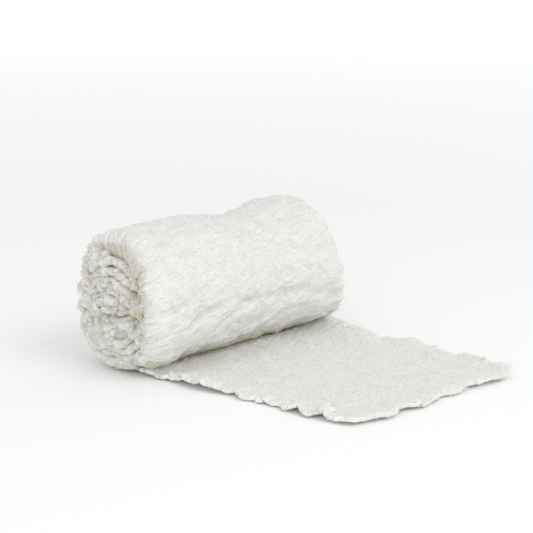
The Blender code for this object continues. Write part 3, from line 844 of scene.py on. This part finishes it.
# %% Threads that wrap the edges of the inner turns
def wrapped_walks(count, length, share, seed):
    """Threads that lie round the folded edges of the inner turns, crossing them at a slant."""
    random = np.random.default_rng(seed)
    start = random.uniform(0.0, inner_length - 8.0, (count, 1))
    distance = start + np.arange(length) * random.uniform(0.25, 0.6, (count, 1))
    round_edge = np.linspace(-1.0, 1.0, length) * random.uniform(-80.0, 80.0, (count, 1))
    round_edge = np.radians(round_edge + random.uniform(-50.0, 50.0, (count, 1)))
    points, normal, width_way = shown_side(inner_cloth, distance, np.full((count, 1), share))[:3]
    half = 0.5 * INNER_THICKNESS
    away = half * (1.25 + 0.25 * hills(distance / 1.7, start, seed)) + 0.1 * MM
    outward = width_way * (2.0 * share - 1.0)
    return points + outward * (np.cos(round_edge) * away)[..., None] + normal * (
        np.sin(round_edge) * away - half
    )[..., None]


near_walks = wrapped_walks(count=2300, length=9, share=0.0, seed=85)
far_walks = wrapped_walks(count=1200, length=9, share=1.0, seed=86)
paths = np.concatenate([near_walks, far_walks])
fold_threads = thread_mesh("fold_threads", above_table(paths), FOLD_THREAD_RADIUS)


# %% Threads that stand off the edges
def edge_roots(cloth, places, shares, depth=TO_MIDDLE_PLY, up=0.0, out=1.0):
    """Roots in the cloth at its long edges, and the way that a thread leaves each one."""
    points, normal, width_way = shown_side(cloth, places, shares)[:3]
    sideways = width_way * np.where(shares < 0.5, -out, out)[:, None]
    return points - normal * depth, up * normal + sideways


random = np.random.default_rng(83)
on_rim = {"depth": 0.0, "up": 0.6, "out": 0.8}
turns = np.concatenate([random.uniform(8.0, 148.0, 130), random.uniform(238.0, 345.0, 110)])
root_sets = [edge_roots(outer_cloth, turns, random.uniform(0.0, 0.07, 240), **on_rim)]
turns = random.uniform(8.0, 345.0, 180)
root_sets.append(edge_roots(outer_cloth, turns, random.uniform(0.95, 1.0, 180), **on_rim))
for share, count in ((0.0, 420), (1.0, 260)):
    places = random.uniform(0.0, inner_length - 2.0, count)
    root_sets.append(edge_roots(inner_cloth, places, np.full(count, share)))
places = random.uniform(8.0 * MM, CUT_EDGE, 300)
root_sets.append(edge_roots(loose_cloth, places, np.repeat((0.0, 1.0), 150)))
cut_roots, _ = edge_roots(loose_cloth, np.full(150, CUT_EDGE), random.uniform(0.0, 1.0, 150))
root_sets.append((cut_roots, np.tile((1.0, 0.0, 0.1), (150, 1))))
roots, outward = (np.concatenate(parts) for parts in zip(*root_sets))
paths = edge_curls(roots, outward, length=10, step=0.32 * MM, seed=84)
edge_threads = thread_mesh("edge_threads", above_table(paths), EDGE_THREAD_RADIUS)

# %% [markdown]
# ## The gauze
# Bleached cotton is a warm white. Its crinkles are so fine that most of them can only be drawn as
# bump: warp and weft threads about a millimetre apart, pulled about by noise, and a finer fuzz.
# Light that enters a loose tangle of threads comes out a little way off, so the shader also
# scatters it below the surface, and it has a soft sheen. The strips read their pattern from their
# own flat map, so that it follows the cloth round the roll; the loose threads read it in space.


# %% Gauze weave group
def build_weave_group():
    """Weave, fuzz and painted shade of the gauze, as one group that every gauze material uses."""
    group = bpy.data.node_groups.new("gauze_weave", "ShaderNodeTree")
    sockets = group.interface
    sockets.new_socket("Place", in_out="INPUT", socket_type="NodeSocketVector")
    sockets.new_socket("Depth", in_out="INPUT", socket_type="NodeSocketFloat")
    sockets.new_socket("Cotton", in_out="INPUT", socket_type="NodeSocketColor")
    sockets.new_socket("Shade_tint", in_out="INPUT", socket_type="NodeSocketColor")
    sockets.new_socket("Colour", in_out="OUTPUT", socket_type="NodeSocketColor")
    sockets.new_socket("Height", in_out="OUTPUT", socket_type="NodeSocketFloat")
    nodes = group.nodes
    links = group.links
    inputs = nodes.new("NodeGroupInput").outputs
    outputs = nodes.new("NodeGroupOutput").inputs

    def noise(scale, detail, roughness):
        node = nodes.new("ShaderNodeTexNoise")
        node.inputs["Scale"].default_value = scale
        node.inputs["Detail"].default_value = detail
        node.inputs["Roughness"].default_value = roughness
        links.new(inputs["Place"], node.inputs["Vector"])
        return node.outputs["Fac"]

    def threads(direction, scale):
        node = nodes.new("ShaderNodeTexWave")
        node.bands_direction = direction
        node.inputs["Scale"].default_value = scale
        node.inputs["Distortion"].default_value = 5.0
        node.inputs["Detail"].default_value = 2.0
        node.inputs["Detail Scale"].default_value = 1.5
        links.new(inputs["Place"], node.inputs["Vector"])
        return node.outputs["Fac"]

    def math_node(operation, first, second):
        node = nodes.new("ShaderNodeMath")
        node.operation = operation
        for socket, value in zip(node.inputs, (first, second)):
            if isinstance(value, float):
                socket.default_value = value
            else:
                links.new(value, socket)
        return node.outputs[0]

    def ramp(value, from_low, from_high, to_low, to_high):
        node = nodes.new("ShaderNodeMapRange")
        links.new(value, node.inputs["Value"])
        limits = (from_low, from_high, to_low, to_high)
        for name, limit in zip(("From Min", "From Max", "To Min", "To Max"), limits):
            node.inputs[name].default_value = limit
        return node.outputs["Result"]

    def mix(kind, share, first, second):
        node = nodes.new("ShaderNodeMix")
        node.data_type = "RGBA"
        node.blend_type = kind
        if isinstance(share, float):
            node.inputs["Factor"].default_value = share
        else:
            links.new(share, node.inputs["Factor"])
        links.new(first, node.inputs["A"])
        links.new(second, node.inputs["B"])
        return node.outputs["Result"]

    warp = threads("X", 330.0)
    weft = threads("Y", 360.0)
    woven = math_node("MAXIMUM", warp, weft)
    fuzz = noise(1500.0, 3.0, 0.65)
    patches = noise(120.0, 2.0, 0.5)
    woven_part = math_node("MULTIPLY", woven, 0.45)
    height = math_node("ADD", woven_part, fuzz)
    # Painted shade: the colour turns to the darker, warmer shade tint where the strip's shade value is low.
    shade_share = ramp(inputs["Depth"], 0.0, -1.6 * MM, 0.0, 1.0)
    colour = mix("MIX", shade_share, inputs["Cotton"], inputs["Shade_tint"])
    tone = math_node("ADD", ramp(height, 0.5, 1.3, 0.84, 1.05), ramp(patches, 0.3, 0.7, -0.02, 0.02))
    toned = nodes.new("ShaderNodeCombineColor")
    for socket in toned.inputs:
        links.new(tone, socket)
    colour = mix("MULTIPLY", 1.0, colour, toned.outputs["Color"])
    links.new(colour, outputs["Colour"])
    links.new(height, outputs["Height"])
    return group


# %% Gauze materials
COTTON = (0.9, 0.905, 0.875)
THREAD_COTTON = (0.97, 0.972, 0.955)
# The colour of painted shade in creases, in the hollow under the near rim and between the turns.
PAINTED_SHADE_TINT = (0.68, 0.64, 0.49)


def gauze_material(name, group, place_node, place_output, cotton, bump):
    material = bpy.data.materials.new(name)
    material.use_nodes = True
    nodes = material.node_tree.nodes
    links = material.node_tree.links
    shader = nodes["Principled BSDF"]
    weave = nodes.new("ShaderNodeGroup")
    weave.node_tree = group
    weave.inputs["Cotton"].default_value = (*cotton, 1.0)
    weave.inputs["Shade_tint"].default_value = (*PAINTED_SHADE_TINT, 1.0)
    place = nodes.new(place_node)
    if place_node == "ShaderNodeUVMap":
        place.uv_map = "strip"
        # The strips' painted shade, read from their point attribute.
        depth = nodes.new("ShaderNodeAttribute")
        depth.attribute_name = "painted_shade_depth"
        links.new(depth.outputs["Fac"], weave.inputs["Depth"])
    links.new(place.outputs[place_output], weave.inputs["Place"])
    links.new(weave.outputs["Colour"], shader.inputs["Base Color"])
    relief = nodes.new("ShaderNodeBump")
    relief.inputs["Strength"].default_value = 1.0
    relief.inputs["Distance"].default_value = bump
    links.new(weave.outputs["Height"], relief.inputs["Height"])
    links.new(relief.outputs["Normal"], shader.inputs["Normal"])
    shader.inputs["Roughness"].default_value = 0.95
    shader.inputs["Specular IOR Level"].default_value = 0.2
    shader.inputs["Sheen Weight"].default_value = 0.15
    return material, shader


weave_group = build_weave_group()
gauze, shader = gauze_material(
    "white_gauze", weave_group, "ShaderNodeUVMap", "UV", COTTON, bump=0.28 * MM
)
shader.inputs["Subsurface Weight"].default_value = 0.7
shader.inputs["Subsurface Radius"].default_value = (1.0, 0.95, 0.85)
shader.inputs["Subsurface Scale"].default_value = 1.2 * MM
thread_cotton, shader = gauze_material(
    "white_thread", weave_group, "ShaderNodeTexCoord", "Object", THREAD_COTTON, bump=0.03 * MM
)

# %% [markdown]
# ## Floor, light and camera
# Something white needs a pale floor that doesn't compete with it. One broad light from the side of
# the loose end draws the creases, a weaker one in front fills them, and an even sky does the rest.
# The far floor glows a little, from well outside the object, because the lights don't reach it.
# The lens and the angle were fitted to the photograph.

# %% Floor, light and camera
FLOOR_GLOW_FROM, FLOOR_GLOW_TO = 0.35, 1.5  # metres from the roll
bpy.ops.object.select_all(action="DESELECT")
bpy.ops.mesh.primitive_plane_add(size=14.0, location=(0.0, 0.0, -0.0002))
floor = bpy.context.object
floor.name = "floor"


def plain_material(name, colour, roughness):
    material = bpy.data.materials.new(name)
    material.use_nodes = True
    shader = material.node_tree.nodes["Principled BSDF"]
    shader.inputs["Base Color"].default_value = (*colour, 1.0)
    shader.inputs["Roughness"].default_value = roughness
    return material


pale_floor = plain_material("pale_floor", (0.98, 0.98, 0.98), 0.9)
floor.data.materials.append(pale_floor)

nodes = pale_floor.node_tree.nodes
links = pale_floor.node_tree.links
floor_place = nodes.new("ShaderNodeTexCoord")
distance_out = nodes.new("ShaderNodeVectorMath")
distance_out.operation = "LENGTH"
glow = nodes.new("ShaderNodeMapRange")
glow.inputs["From Min"].default_value = FLOOR_GLOW_FROM
glow.inputs["From Max"].default_value = FLOOR_GLOW_TO
glow.inputs["To Max"].default_value = 0.22
links.new(floor_place.outputs["Object"], distance_out.inputs[0])
links.new(distance_out.outputs["Value"], glow.inputs["Value"])
links.new(glow.outputs["Result"], nodes["Principled BSDF"].inputs["Emission Color"])
nodes["Principled BSDF"].inputs["Emission Strength"].default_value = 1.0

CAMERA_AZIMUTH = math.radians(42.94)
CAMERA_ELEVATION = math.radians(13.05)
camera_back = Vector(
    (
        math.sin(CAMERA_AZIMUTH) * math.cos(CAMERA_ELEVATION),
        -math.cos(CAMERA_AZIMUTH) * math.cos(CAMERA_ELEVATION),
        math.sin(CAMERA_ELEVATION),
    )
)
camera = bpy.data.objects.new("camera", bpy.data.cameras.new("camera"))
bpy.context.scene.collection.objects.link(camera)
camera.data.lens = 115.0
camera.location = (0.53795, -0.54818, 0.21582)
camera.rotation_euler = camera_back.to_track_quat("Z", "Y").to_euler()
camera.data.clip_end = 30.0
bpy.context.scene.camera = camera


def area_light(name, place, target, size, power):
    light = bpy.data.objects.new(name, bpy.data.lights.new(name, "AREA"))
    bpy.context.scene.collection.objects.link(light)
    light.data.size = size
    light.data.energy = power
    light.location = place
    light.rotation_euler = (Vector(place) - Vector(target)).to_track_quat("Z", "Y").to_euler()
    return light


area_light("key_light", (1.35, -0.05, 1.2), (0.02, 0.0, 0.03), size=0.9, power=8.5)
area_light("fill_light", (0.9, -1.2, 0.4), (0.02, -0.02, 0.03), size=1.0, power=4.0)
world = bpy.data.worlds.new("studio")
world.use_nodes = True
world.node_tree.nodes["Background"].inputs["Color"].default_value = (1.0, 1.0, 1.0, 1.0)
world.node_tree.nodes["Background"].inputs["Strength"].default_value = 0.78
bpy.context.scene.world = world
bpy.context.scene.view_settings.view_transform = "Standard"

# %% [markdown]
# ## The pieces on the body
# Each piece rides on the one body and stands for the imported solid, which is hidden. The strips
# get the white gauze and their threads the white thread.

# %% Put the pieces on the body
strips = (
    (loose_end, CUT_EDGE + START_UNDER_ROLL, [loose_threads]),
    (outer_turn, OUTER_LENGTH, [roll_threads]),
    (inner_turns, inner_length * MM, [edge_threads, fold_threads]),
)
for strip, length, threads in strips:
    strip.data.materials.append(gauze)
    for thread in threads:
        thread.data.materials.append(thread_cotton)
    for piece in (strip, *threads):
        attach(piece, "root")
        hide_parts("gauze_bandage")
